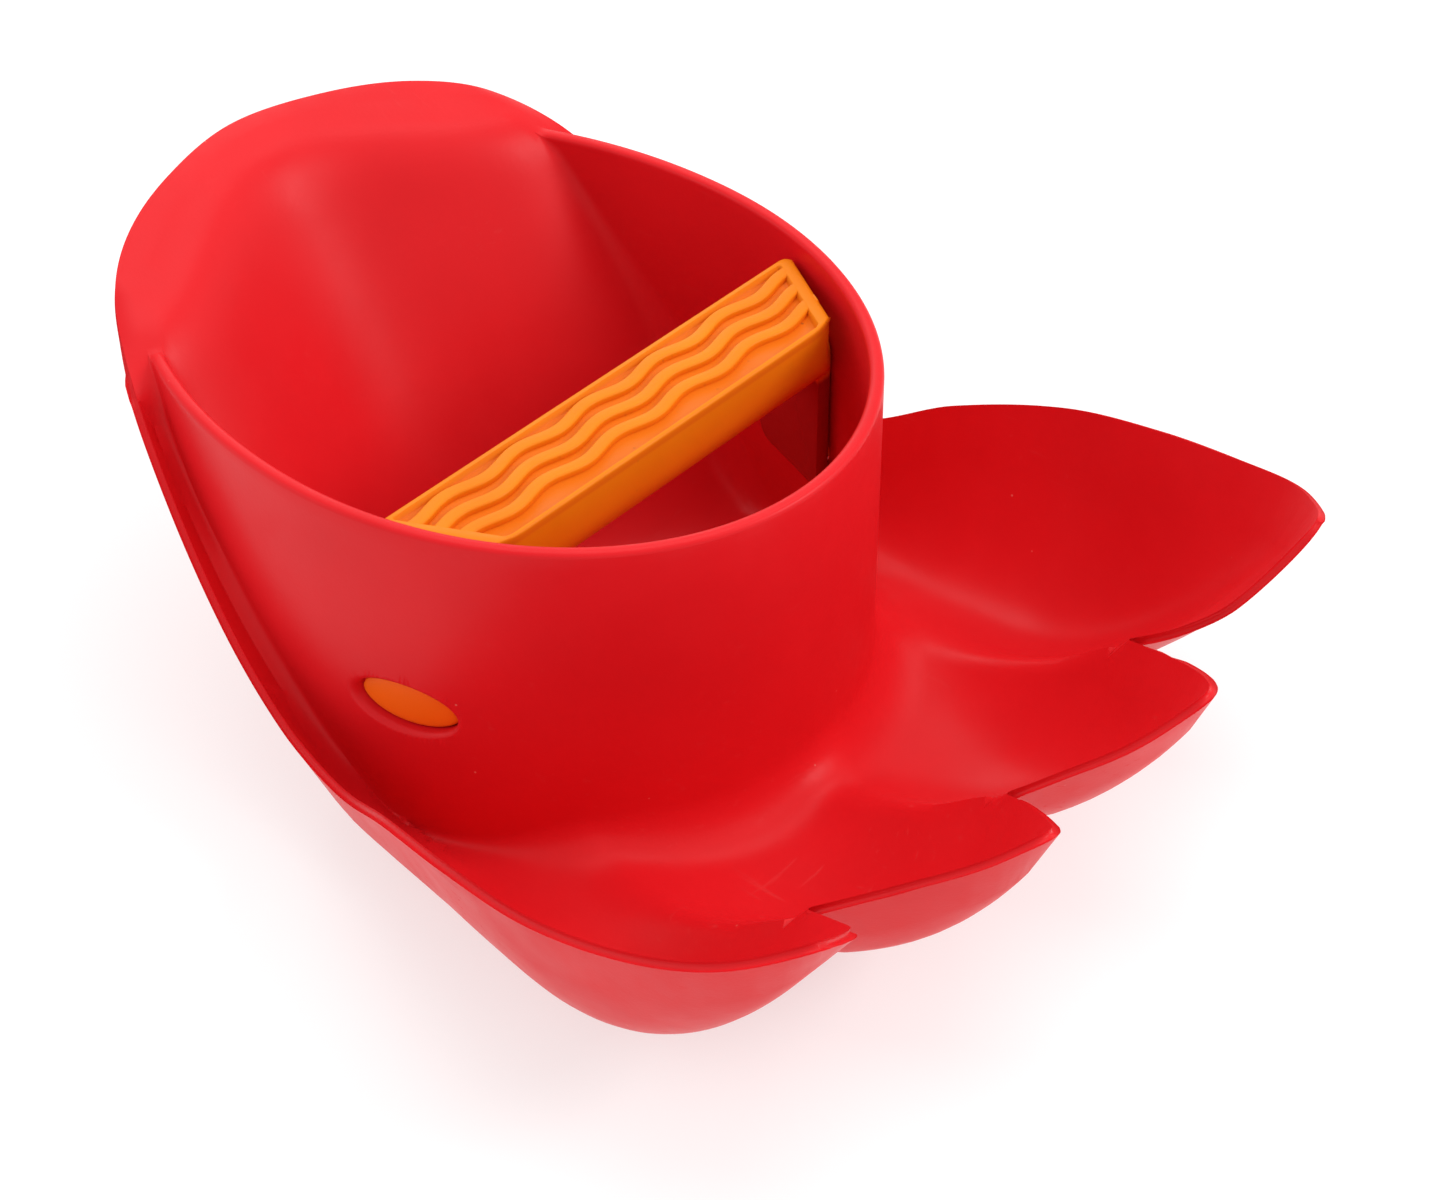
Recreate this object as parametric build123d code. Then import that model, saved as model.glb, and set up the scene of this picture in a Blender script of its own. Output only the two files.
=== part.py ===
from build123d import *
import math
import os

# Hand-worn digging claw scoop: one moulded shell (claw dish, hand cup, wrist guard) and one grip bar
# held by two oval lugs in the cup's side windows.
# Units are mm. +X points to the claws, +Z up, the object is mirrored about the plane y = 0,
# and the origin lies under the middle of the object on the surface it rests on.

# ---- Shell: overall outline ------------------------------------------------------------------
# Edge of the shell on its +Y side, from the back of the wrist guard to the outer claw's tip: x, y, z.
LIP_EDGE = [
    (-96.2, 0.0, 75.2),
    (-92.5, 17.4, 74.7),
    (-85.8, 32.0, 73.2),
    (-77.0, 42.4, 70.2),
    (-64.4, 50.2, 62.8),
    (-50.5, 55.4, 49.0),
    (-36.0, 58.5, 33.0),
    (-22.0, 60.6, 22.6),
    (-8.0, 62.8, 20.0),
    (9.5, 68.4, 28.6),
    (28.7, 73.3, 35.2),
    (47.0, 75.1, 38.7),
    (64.5, 73.3, 42.7),
    (78.0, 69.0, 47.3),
    (88.5, 60.0, 52.0),
]
# Edge between the outer claw's tip and the side notch, then the inner claw's two edges: x, y, z.
OUTER_CLAW_INNER_EDGE = [(68.0, 39.8, 27.5), (76.0, 42.6, 33.0), (82.5, 47.0, 39.5), (88.5, 60.0, 52.0)]
INNER_CLAW_OUTER_EDGE = [(68.0, 39.8, 27.5), (80.5, 32.8, 36.0), (90.0, 26.5, 42.5), (96.5, 19.5, 48.0)]
INNER_CLAW_INNER_EDGE = [(74.2, 0.0, 26.0), (80.5, 4.0, 31.3), (89.5, 11.0, 39.0), (96.5, 19.5, 48.0)]

WALL = 2.4                # thickness of the moulding
TIP_ROUND = 2.0           # plan radius at each claw tip

# ---- Shell: surface of the dish ---------------------------------------------------------------
FLOOR_TOP = 2.6           # inside of the floor where the object rests
FLOOR_SINK = 0.4          # how far the underside is carried below the resting plane before it is cut flat
FLOOR_FADE = 3.0          # the sinking fades out over this rise of the dish
UNDERSIDE_CLEAR = 0.1
SLOPE_STEP = 0.5          # half distance between the points that give the surface's slope
STEEPEST = 2.6            # largest vertical thickness, in wall thicknesses
OUTER_KEEL_Y = 50.0       # centre line of the outer claw where it leaves the cup
OUTER_KEEL_TURN = 20.0    # x from which that centre line turns towards the claw's tip
OUTER_KEEL_RISE = (37.0, 2.0)    # x where the keel starts to rise, and its power
INNER_KEEL_Y = 19.6
INNER_KEEL_RISE = (44.0, 2.6)
RIDGE_START = 29.5        # x where the middle ridge starts to rise
RIDGE_FOOT = 5.2          # height of the ridge there
RIDGE_CURVE = 0.0108      # how fast the ridge climbs, per mm squared
RIDGE_FADE = (5.0, 25.0)  # x where the ridges begin under the cup, and the length over which they grow
SIDE_RIDGE_LEAD = 6.5     # the side ridges rise this much sooner than the middle one
CHANNEL_POWER = 2.2       # how round the channel floors are
CHANNEL_OVERRUN = 1.35    # share of a channel's half width to which its curve is carried
LIP_STEEP = 0.62          # how steep the outer lip stands, up to 1 for upright

# ---- Shell: wrist guard ----------------------------------------------------------------------
BRIM_BACK = -96.0         # x where the brim is highest
BRIM_HEIGHT = 75.2
BRIM_SLOPE = 0.27
BRIM_LOW = 64.0
RAMP_TOP = 70.0
RAMP_SLOPE_IN = 1.58      # steepness of the trough inside the cup
RAMP_SLOPE_OUT = 1.16     # steepness of the flanges beside the cup
RAMP_MIDDLE = -75.5       # mean x of the trough's upper edge
RAMP_DEPTH = 7.5          # how far the trough is hollowed back in the middle
RAMP_HALF_WIDTH = 44.0    # half width of that hollow
RAMP_END = 30.0           # x beyond which the guard no longer shapes the dish
FLANGE_Y = 46.0           # half width at which the flanges begin
FLANGE_BLEND = 7.0        # width over which the trough's slope turns into the flanges' slope
FLANGE_BACK = 1.8         # how far the flanges stand behind the trough
RAMP_FOOT_ROUND = 12.0
BRIM_ROUND = 7.0

# ---- Shell: hand cup --------------------------------------------------------------------------
CUP_X = -29.0             # where the two half ellipses of the cup meet
CUP_FRONT = 64.3          # half axis towards the claws, outside
CUP_BACK = 71.2           # half axis towards the wrist guard, outside
CUP_SIDE = 53.0           # half width, outside
CUP_WALL = 2.4
RIM_HEIGHT = 65.0
RIM_ROUND = 0.9
RING_FOOT = 1.0           # the cup's wall is sunk into the floor down to this height

# ---- Windows and grip bar -----------------------------------------------------------------------
WINDOW_X = -7.0
WINDOW_Z = 28.0
WINDOW_LONG = 17.0
WINDOW_TALL = 9.0
WINDOW_CUT = (38.0, 20.0) # half width at which the cut through the wall starts, and its length
LUG_GAP = 0.3
LUG_REACH = 0.8           # how far the lug stands into the wall
BAR_X = (-12.0, 6.0)
BAR_TOP = 61.5
BAR_DEPTH = 15.5
BAR_LENGTH = 110.0        # cut back to the cup's wall at both ends
BAR_EDGE = 1.2
BAR_UNDER_FLAT = 0.8      # half width of the flat left under the bar
BAR_END_ROUND = 4.0       # plan radius at the bar's two front corners
END_GAP = 0.6             # between the bar's ends and the cup's inner wall
LEG_X = (-16.0, 2.0)
LEG_Y = (30.0, 60.0)      # half widths between which a leg is cut from the cup's curve
LEG_THICK = 3.5
LEG_BOTTOM = 22.0
LEG_TOP = 55.5            # inside the bar
CORNER_ROUND = 3.5
RIB_COUNT = 3
FIRST_RIB_X = -8.4
RIB_PITCH = 4.3
RIB_WIDTH = 2.3
RIB_LENGTH = 104.0
RIB_WAVE = 15.8           # length of one wave
RIB_SWAY = 0.7            # how far a rib swings to each side
RIB_LAG = 1.4             # how far each rib's waves lag behind the rib before it
RIB_STEPS = 28
PANEL_BORDER = (1.0, 0.7) # width of the frame behind and in front of the sunk panel
PANEL_DEPTH = 1.2
PANEL_END = 3.0

GRID_REACH_X = 102.0      # half length of the surface grid
GRID_REACH_Y = 79.0
GRID_LONG = 22
GRID_WIDE = 26
BIG = 60.0                # depth of the solids below those surfaces
PLATE_LOW = -20.0
PLATE_HIGH = 120.0


def curve_through(points, column):
    """Smooth height or width along x through a few points: a cubic with Catmull-Rom slopes."""
    xs = [p[0] for p in points]
    vs = [p[column] for p in points]
    last = len(xs) - 1
    slopes = []
    for i in range(len(xs)):
        a = max(i - 1, 0)
        b = min(i + 1, last)
        slopes.append((vs[b] - vs[a]) / (xs[b] - xs[a]))

    def value(x):
        i = max(j for j in range(last) if j == 0 or xs[j] <= x)
        h = xs[i + 1] - xs[i]
        t = (x - xs[i]) / h
        if t < 0.0:
            return vs[i] + slopes[i] * (x - xs[i])
        if t > 1.0:
            return vs[i + 1] + slopes[i + 1] * (x - xs[i + 1])
        return (
            vs[i] * (1 + 2 * t) * (1 - t) ** 2
            + slopes[i] * h * t * (1 - t) ** 2
            + vs[i + 1] * t * t * (3 - 2 * t)
            + slopes[i + 1] * h * t * t * (t - 1)
        )

    return value


SIDE_EDGE = LIP_EDGE[4:]
edge_y = curve_through(SIDE_EDGE, 1)
edge_z = curve_through(SIDE_EDGE, 2)
outer_in_y = curve_through(OUTER_CLAW_INNER_EDGE, 1)
outer_in_z = curve_through(OUTER_CLAW_INNER_EDGE, 2)
inner_out_y = curve_through(INNER_CLAW_OUTER_EDGE, 1)
inner_out_z = curve_through(INNER_CLAW_OUTER_EDGE, 2)
inner_in_y = curve_through(INNER_CLAW_INNER_EDGE, 1)
inner_in_z = curve_through(INNER_CLAW_INNER_EDGE, 2)


def smooth_step(t):
    t = min(max(t, 0.0), 1.0)
    return t * t * (3 - 2 * t)


def smooth_max(a, b, reach):
    """The larger of two heights, with a rounded hollow where they cross."""
    h = max(reach - abs(a - b), 0.0) / reach
    return max(a, b) + h * h * reach / 4


def smooth_min(a, b, reach):
    return -smooth_max(-a, -b, reach)


def keel(x, rise, tip):
    """Floor height along a claw, from the flat of the dish up to the claw's tip."""
    start, power = rise
    t = max(x - start, 0.0) / (tip[0] - start)
    return FLOOR_TOP + (tip[2] - FLOOR_TOP) * t ** power


def ridge(x):
    """Height of the ridge between two channels, fading out under the cup."""
    grown = RIDGE_FOOT + RIDGE_CURVE * max(x - RIDGE_START, 0.0) ** 2
    start, length = RIDGE_FADE
    return FLOOR_TOP + (grown - FLOOR_TOP) * smooth_step((x - start) / length)


def channel(y, centre, low, side_y, side_z):
    """Height across a channel that passes through its side at side_y, side_z."""
    half = side_y - centre
    half = math.copysign(max(abs(half), 1.0), half)
    s = min(abs((y - centre) / half), CHANNEL_OVERRUN)
    return low + max(side_z - low, 0.0) * s ** CHANNEL_POWER


def bowl(y, centre, low, side_y, side_z):
    """Height across the outer half of the outer claw: part of an ellipse, steep at the lip."""
    s = LIP_STEEP * min((y - centre) / max(side_y - centre, 1.5), 1.0)
    return low + (side_z - low) * (1 - math.sqrt(1 - s * s)) / (1 - math.sqrt(1 - LIP_STEEP ** 2))


def dish_height(x, y):
    """Inside of the claw dish at x, y (y is never negative)."""
    tip_in = INNER_CLAW_OUTER_EDGE[-1]
    tip_out = LIP_EDGE[-1]
    low_in = keel(x, INNER_KEEL_RISE, tip_in)
    low_out = keel(x, OUTER_KEEL_RISE, tip_out)
    lean = max(x - OUTER_KEEL_TURN, 0.0) / (tip_out[0] - OUTER_KEEL_TURN)
    centre_out = OUTER_KEEL_Y + (tip_out[1] - OUTER_KEEL_Y) * lean
    side = INNER_CLAW_OUTER_EDGE[0]
    middle = INNER_CLAW_INNER_EDGE[0]
    if x < side[0]:
        side_y, side_z = side[1], ridge(x + SIDE_RIDGE_LEAD)
        side_in_y, side_in_z = side_y, side_z
    else:
        side_y, side_z = outer_in_y(x), outer_in_z(x)
        side_in_y, side_in_z = inner_out_y(x), inner_out_z(x)
    if x < middle[0]:
        mid_y, mid_z = 0.0, ridge(x)
    else:
        mid_y, mid_z = inner_in_y(x), inner_in_z(x)
    if y < INNER_KEEL_Y:
        return channel(y, INNER_KEEL_Y, low_in, mid_y, mid_z)
    if y > centre_out:
        return bowl(y, centre_out, low_out, edge_y(x), edge_z(x))
    inner = channel(y, INNER_KEEL_Y, low_in, side_in_y, side_in_z)
    outer = channel(y, centre_out, low_out, side_y, side_z)
    return min(inner, outer)


def ramp_height(x, y):
    """The wrist guard's steep back: a trough inside the cup and a flange on each side of it."""
    outward = smooth_step((y - FLANGE_Y) / FLANGE_BLEND)
    slope = RAMP_SLOPE_IN + (RAMP_SLOPE_OUT - RAMP_SLOPE_IN) * outward
    across = min(y / RAMP_HALF_WIDTH, 1.0)
    top = RAMP_MIDDLE - RAMP_DEPTH * math.cos(math.pi * across) - FLANGE_BACK * outward
    return RAMP_TOP - slope * (x - top)


def shell_height(x, y):
    """Upper side of the moulding, cup wall left out."""
    y = abs(y)
    brim = max(BRIM_HEIGHT - BRIM_SLOPE * (x - BRIM_BACK), BRIM_LOW)
    ramp = smooth_min(ramp_height(x, y), brim, BRIM_ROUND)
    if x > RAMP_END:
        return dish_height(x, y)
    return smooth_max(dish_height(x, y), ramp, RAMP_FOOT_ROUND)


def shell_underside(x, y):
    """Lower side of the moulding, one wall thickness below the upper side."""
    e = SLOPE_STEP
    here = shell_height(x, y)
    dx = (shell_height(x + e, y) - shell_height(x - e, y)) / (2 * e)
    dy = (shell_height(x, y + e) - shell_height(x, y - e)) / (2 * e)
    drop = WALL * min(math.sqrt(1 + dx * dx + dy * dy), STEEPEST)
    sink = FLOOR_SINK * smooth_step(1.0 - (here - FLOOR_TOP) / FLOOR_FADE)
    return here - drop - sink - UNDERSIDE_CLEAR


def section_below(height, x):
    """Plane face at one x, under a curve through heights across the shell."""
    half = GRID_REACH_Y
    ys = [half * (2 * j / GRID_WIDE - 1) for j in range(GRID_WIDE + 1)]
    points = [Vector(x, y, height(x, y)) for y in ys]
    curve = Edge.make_spline(points, parameters=[j / GRID_WIDE for j in range(GRID_WIDE + 1)])
    floor = [Vector(x, half, -BIG), Vector(x, -half, -BIG)]
    corners = [points[-1]] + floor + [points[0]]
    lines = [Edge.make_line(corners[i], corners[i + 1]) for i in range(3)]
    return Face(Wire([curve] + lines))


def block_under(height):
    """Solid below a surface that is given by its height, lofted along the shell."""
    xs = [GRID_REACH_X * (2 * i / GRID_LONG - 1) for i in range(GRID_LONG + 1)]
    return loft([section_below(height, x) for x in xs])


def mirrored(points):
    return [(x, -y) for x, y in reversed(points)]


def outline_face():
    """Plan of the shell: a smooth edge round the back and sides, four claws and three notches."""
    side = [(x, y) for x, y, z in LIP_EDGE]
    back = Spline(mirrored(side[1:]) + side)
    outer = Spline([(x, y) for x, y, z in reversed(OUTER_CLAW_INNER_EDGE)])
    inner_out = Spline([(x, y) for x, y, z in INNER_CLAW_OUTER_EDGE])
    inner_in = Spline([(x, y) for x, y, z in reversed(INNER_CLAW_INNER_EDGE)])
    claws = [outer, inner_out, inner_in]
    far = [mirror(c, Plane.XZ) for c in claws]
    edges = [back] + claws + far
    face = make_face(Wire.combine([e.edge() for e in edges])[0])
    tips = [v for v in face.vertices() if v.X > min(LIP_EDGE[-1][0], INNER_CLAW_OUTER_EDGE[-1][0]) - 1]
    return fillet(tips, TIP_ROUND)


def cup_plan(inset):
    """Plan of the hand cup: two half ellipses of the same width."""
    side = CUP_SIDE - inset
    front = EllipticalCenterArc((CUP_X, 0), CUP_FRONT - inset, side, -90, arc_size=180)
    back = EllipticalCenterArc((CUP_X, 0), CUP_BACK - inset, side, 90, arc_size=180)
    return make_face(Wire.combine([front.edge(), back.edge()])[0])


def cup_prism(inset, low, high):
    return extrude(Pos(0, 0, low) * cup_plan(inset), amount=high - low)


def window_cutter(grow, side):
    """Oval prism through one side wall of the cup (1 for +Y, -1 for -Y)."""
    oval = Ellipse(WINDOW_LONG / 2 + grow, WINDOW_TALL / 2 + grow)
    start, length = WINDOW_CUT
    plane = Plane(origin=(WINDOW_X, start * side, WINDOW_Z), x_dir=(1, 0, 0), z_dir=(0, side, 0))
    return extrude(plane * oval, amount=length)


def make_shell():
    plate = extrude(Pos(0, 0, PLATE_LOW) * outline_face(), amount=PLATE_HIGH - PLATE_LOW)
    below = block_under(shell_underside)
    plate = plate & block_under(shell_height)
    plate = plate - below
    ring = cup_prism(0, RING_FOOT, RIM_HEIGHT)
    ring = ring - cup_prism(CUP_WALL, 0.0, RIM_HEIGHT + 1)
    rim_edges = ring.edges().group_by(Axis.Z)[-1]
    ring = fillet(rim_edges, RIM_ROUND)
    ring = ring - below
    shell = plate + ring
    span = 4 * GRID_REACH_X
    below_rest = Box(span, span, -PLATE_LOW, align=(Align.CENTER, Align.CENTER, Align.MAX))
    shell = shell - below_rest
    return shell - window_cutter(0, 1) - window_cutter(0, -1)


def bar_section():
    """Section of the bar: flat top with small edge rounds and a full round underneath."""
    left, right = BAR_X
    width = right - left
    bottom = BAR_TOP - BAR_DEPTH
    box = Pos((left + right) / 2, (BAR_TOP + bottom) / 2) * Rectangle(width, BAR_DEPTH)
    corners = box.vertices().group_by(Axis.Y)
    box = fillet(corners[0], width / 2 - BAR_UNDER_FLAT)
    return fillet(box.vertices().group_by(Axis.Y)[-1], BAR_EDGE)


def rib_side(index, offset):
    """One long side of a wavy rib, offset from the rib's middle line."""
    middle = FIRST_RIB_X + RIB_PITCH * index
    line = []
    for i in range(RIB_STEPS + 1):
        y = RIB_LENGTH * (i / RIB_STEPS - 0.5)
        sway = RIB_SWAY * math.sin(2 * math.pi * (y + RIB_LAG * index) / RIB_WAVE)
        line.append((middle + offset + sway, y))
    return Spline(line)


def rib_band(index):
    """One wavy rib of the bar's top, as a prism that fills the panel's depth."""
    first = rib_side(index, -RIB_WIDTH / 2)
    second = rib_side(index, RIB_WIDTH / 2)
    ends = [Line(first @ 0, second @ 0), Line(first @ 1, second @ 1)]
    edges = [e.edge() for e in [first, second] + ends]
    face = make_face(Wire.combine(edges)[0])
    return extrude(Pos(0, 0, BAR_TOP - 2 * PANEL_DEPTH) * face, amount=2 * PANEL_DEPTH)


def make_panel_pocket():
    """What is cut from the bar's top: one shallow pocket less its wavy ribs."""
    left = BAR_X[0] + PANEL_BORDER[0]
    right = BAR_X[1] - PANEL_BORDER[1]
    pocket = Pos((left + right) / 2, 0, BAR_TOP) * Box(right - left, BAR_LENGTH, 2 * PANEL_DEPTH)
    inset = CUP_WALL + END_GAP + PANEL_END
    pocket = pocket & cup_prism(inset, BAR_TOP - 2 * PANEL_DEPTH, BAR_TOP + 2 * PANEL_DEPTH)
    for index in range(RIB_COUNT):
        pocket = pocket - rib_band(index)
    return pocket


def make_leg(side):
    """One end leg, following the cup's wall down to the window on its side (1 for +Y, -1 for -Y)."""
    low, high = LEG_X
    near, far = LEG_Y
    middle = Pos((low + high) / 2, side * (near + far) / 2, (LEG_BOTTOM + LEG_TOP) / 2)
    leg = middle * Box(high - low, far - near, LEG_TOP - LEG_BOTTOM)
    leg = fillet(leg.edges().filter_by(Axis.Y), CORNER_ROUND)
    leg = leg & cup_prism(CUP_WALL + END_GAP, LEG_BOTTOM - 1, BAR_TOP)
    return leg - cup_prism(CUP_WALL + END_GAP + LEG_THICK, LEG_BOTTOM - 1, BAR_TOP)


def make_lug(side):
    """Oval lug on a leg, standing into the window without reaching the cup's outer face."""
    lug = window_cutter(-LUG_GAP, side)
    lug = lug & cup_prism(CUP_WALL - LUG_REACH, LEG_BOTTOM - 1, BAR_TOP)
    return lug - cup_prism(CUP_WALL + END_GAP + LEG_THICK / 2, LEG_BOTTOM - 1, BAR_TOP)


def bar_plan_prism():
    """The bar seen from above: ends that follow the cup's wall, with rounded front corners."""
    left, right = BAR_X
    strip = Pos((left + right) / 2, 0) * Rectangle(right - left, BAR_LENGTH)
    strip = strip & cup_plan(CUP_WALL + END_GAP)
    strip = fillet(strip.vertices().group_by(Axis.X)[-1], BAR_END_ROUND)
    bottom = BAR_TOP - BAR_DEPTH - 1
    return extrude(Pos(0, 0, bottom) * strip, amount=BAR_TOP + 1 - bottom)


def make_grip():
    section_plane = Plane(origin=(0, BAR_LENGTH / 2, 0), x_dir=(1, 0, 0), z_dir=(0, -1, 0))
    bar = extrude(section_plane * bar_section(), amount=BAR_LENGTH)
    bar = bar & bar_plan_prism()
    for side in (-1, 1):
        bar = bar + make_leg(side) + make_lug(side)
    return bar - make_panel_pocket()


os.makedirs("parts", exist_ok=True)
export_step(make_shell(), "parts/scoop_shell.step")
export_step(make_grip(), "parts/grip_bar.step")
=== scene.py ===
import math

import bmesh
import bpy
import numpy as np
from mathutils import Matrix, Vector
from mathutils.geometry import delaunay_2d_cdt


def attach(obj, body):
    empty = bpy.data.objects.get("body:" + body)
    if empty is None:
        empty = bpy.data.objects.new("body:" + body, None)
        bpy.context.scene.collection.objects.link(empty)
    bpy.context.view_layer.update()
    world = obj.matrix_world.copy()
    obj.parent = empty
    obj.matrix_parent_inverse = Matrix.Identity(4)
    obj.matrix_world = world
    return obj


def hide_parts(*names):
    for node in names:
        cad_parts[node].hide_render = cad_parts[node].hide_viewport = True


# A hand-worn digging claw scoop: a red moulded shell and an orange grip bar with wavy ribs.
# The object's lengths are in mm until a mesh is made; lights, camera and floor are in metres.
# +X points to the claws, +Z up, and the object is mirrored about y = 0.

MM = 0.001

# Edge of the shell on its +Y side, from the back of the wrist guard to the outer claw's tip: x, y, z.
LIP_EDGE = [
    (-96.2, 0.0, 75.2), (-92.5, 17.4, 74.7), (-85.8, 32.0, 73.2), (-77.0, 42.4, 70.2), (-64.4, 50.2, 62.8),
    (-50.5, 55.4, 49.0), (-36.0, 58.5, 33.0), (-22.0, 60.6, 22.6), (-8.0, 62.8, 20.0), (9.5, 68.4, 28.6),
    (28.7, 73.3, 35.2), (47.0, 75.1, 38.7), (64.5, 73.3, 42.7), (78.0, 69.0, 47.3), (88.5, 60.0, 52.0),
]
OUTER_CLAW_INNER_EDGE = [(68.0, 39.8, 27.5), (76.0, 42.6, 33.0), (82.5, 47.0, 39.5), (88.5, 60.0, 52.0)]
INNER_CLAW_OUTER_EDGE = [(68.0, 39.8, 27.5), (80.5, 32.8, 36.0), (90.0, 26.5, 42.5), (96.5, 19.5, 48.0)]
INNER_CLAW_INNER_EDGE = [(74.2, 0.0, 26.0), (80.5, 4.0, 31.3), (89.5, 11.0, 39.0), (96.5, 19.5, 48.0)]
OUTER_TIP = LIP_EDGE[-1]
INNER_TIP = INNER_CLAW_OUTER_EDGE[-1]
TIP_REACH = 3.2           # how far from a claw's tip its rounding starts
NOTCH_REACH = 1.4         # the same at a notch
CURVE_STEPS = 40          # points between two given points of a curve
CORNER_STEPS = 9          # points round a tip or notch
LEAST_ROUND = 0.05        # rounding left where two channels meet in an edge

# Dish
FLOOR_TOP = 2.6
OUTER_KEEL_Y = 50.0
OUTER_KEEL_TURN = 20.0    # x from which the outer claw's centre line turns towards its tip
OUTER_KEEL_RISE = (37.0, 2.0)
INNER_KEEL_Y = 19.6
INNER_KEEL_RISE = (44.0, 2.6)
RIDGE_START = 29.5
RIDGE_FOOT = 5.2
RIDGE_CURVE = 0.0108
RIDGE_FADE = (5.0, 25.0)  # x where the ridges begin under the cup, and the length over which they grow
MIDDLE_RIDGE_SHARPENS = (58.0, 15.0)  # x where a ridge starts to lose its rounding, and over what length
SIDE_RIDGE_SHARPENS = (54.0, 13.0)
SIDE_RIDGE_LEAD = 6.5
CHANNEL_POWER = 2.2
CHANNEL_OVERRUN = 1.35
CHANNEL_LEAST = 0.8       # least half width of a channel
BOWL_LEAST = 1.0
LIP_STEEP = 0.62
RIDGE_ROUND = 4.5
SHEET = 1.9               # thickness of the moulding
LIP_SHEET = 1.45          # thickness at its free edge
LIP_THINS_OVER = 7.0      # the moulding thins over this width
EDGE_BULGE = 0.45         # how round the free edge is, as a share of its thickness
EDGE_STEPS = 7

# Wrist guard
BRIM_BACK = -96.0         # x where the brim is highest
BRIM_HEIGHT = 75.2
BRIM_SLOPE = 0.27
BRIM_LOW = 64.0
BRIM_ROUND = 6.0
RAMP_TOP = 70.0
RAMP_SLOPE_IN = 1.58
RAMP_SLOPE_OUT = 1.16
RAMP_MIDDLE = -75.5
RAMP_DEPTH = 7.5          # how far the trough is hollowed back in the middle
RAMP_HALF_WIDTH = 44.0    # half width of that hollow
RAMP_END = 30.0           # x beyond which the guard no longer shapes the dish
RAMP_FOOT_ROUND = 12.0
FLANGE_Y = 46.0           # half width at which the flanges begin
FLANGE_BLEND = 7.0        # width over which the trough's slope turns into the flanges' slope
FLANGE_BACK = 1.8         # how far the flanges stand behind the trough
ROLL_WIDTH = 3.2          # the free edge of the guard and flanges rolls down over this width
ROLL_DROP = 0.8
ROLL_ENDS = (-22.0, 10.0) # x where the roll starts to fade, and over what length
CREST_OFF = 6.3           # the flange's crest stands this far out from the cup
CREST_WIDE = 2.9
CREST_HIGH = 1.9
CREST_SPAN = (-74.0, -24.0)
CREST_FADE = 12.0
LIFT_REACH = 8.0          # corrections to the edge's height fade out over this width

# Cup
CUP_X = -29.0
CUP_FRONT = 64.3
CUP_BACK = 71.2
CUP_SIDE = 53.0
CUP_WALL = 2.4
RIM_HEIGHT = 65.0
RIM_ROUND = 0.9
FILLET_FRONT = 9.0        # radius between the cup's wall and the dish at the claws' side
FILLET_SIDE = 1.2
FILLET_INSIDE = 3.0
FILLET_GROWS = (26.0, 34.0)   # distance in front of CUP_X where the fillet starts to grow, and the length
FILLET_SHARE = 0.6        # a fillet is no higher than this share of the wall that still stands
RING_COUNT = 400          # points along the wall
WALL_ROWS = 20            # rows of faces up the wall
RIM_STEPS = 5
CUP_SWEEP = 2.29          # the wall runs this angle to each side, until it is inside the wrist guard

# Layout of the shell's mesh
EDGE_STEP = 0.9           # between points along the free edge
EDGE_ROWS = (0.7, 1.5, 2.5)               # rows of points in from the free edge
WALL_SIDE_ROWS = (0.12, 0.4, 0.9, 1.6, 2.5)   # rows of points beside the cup's wall
ROW_KEPT = 0.93           # a row's point stays when it is this share of its distance from the edge
GRID_STEP = 1.55
GRID_HALF = (98.0, 78.0)
GRID_CLEAR = 3.2          # the grid keeps this far from edge and wall
WALL_END_CLEAR = 1.5
NORMAL_STEP = 1.6         # distance over which the surface's slope is taken

# Windows and grip bar
WINDOW = (-7.0, 28.0, 8.7, 4.6)       # x, z, half length, half height
WINDOW_COUNT = 64
# The window's opening through the wall: depth below the outer face, and growth there.
WINDOW_STEPS = [(-4.0, 0.9), (0.0, 0.9), (0.25, 0.45), (0.6, 0.15), (1.0, 0.0), (6.0, 0.0)]
WINDOW_SHARP = 38.0       # degrees
LUG_COUNT = 48
# The lug in it, from the leg to its slightly crowned face, in the same way.
LUG_STEPS = [(4.2, -0.3), (2.1, -0.3), (1.8, -0.45), (1.65, -0.9), (1.55, -1.8), (1.5, -3.2)]
BAR_X = (-12.0, 6.0)
BAR_TOP = 61.5
BAR_DEPTH = 15.5
BAR_EDGE = 0.6            # radius along the bar's top edges
BAR_UNDER_FLAT = 0.5      # half width of the flat left under the bar
BAR_EDGE_STEPS = 6
BAR_UNDER_STEPS = 12
BAR_SPANS = 14            # rows of faces along half the bar
BAR_SPAN_SHARE = 0.96     # share of the half length where those rows start
BAR_SHARP = 50.0          # degrees
END_EDGE = 1.0            # radius round the bar's end faces
BAR_END_ROUND = 6.5       # plan radius at the bar's front corners
BAR_BACK_ROUND = 2.6
END_GAP = 0.3
PANEL_BACK = 1.0          # width of the frame behind and in front of the sunk panel
PANEL_FRONT = 0.7
PANEL_DEPTH = 1.2
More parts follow.
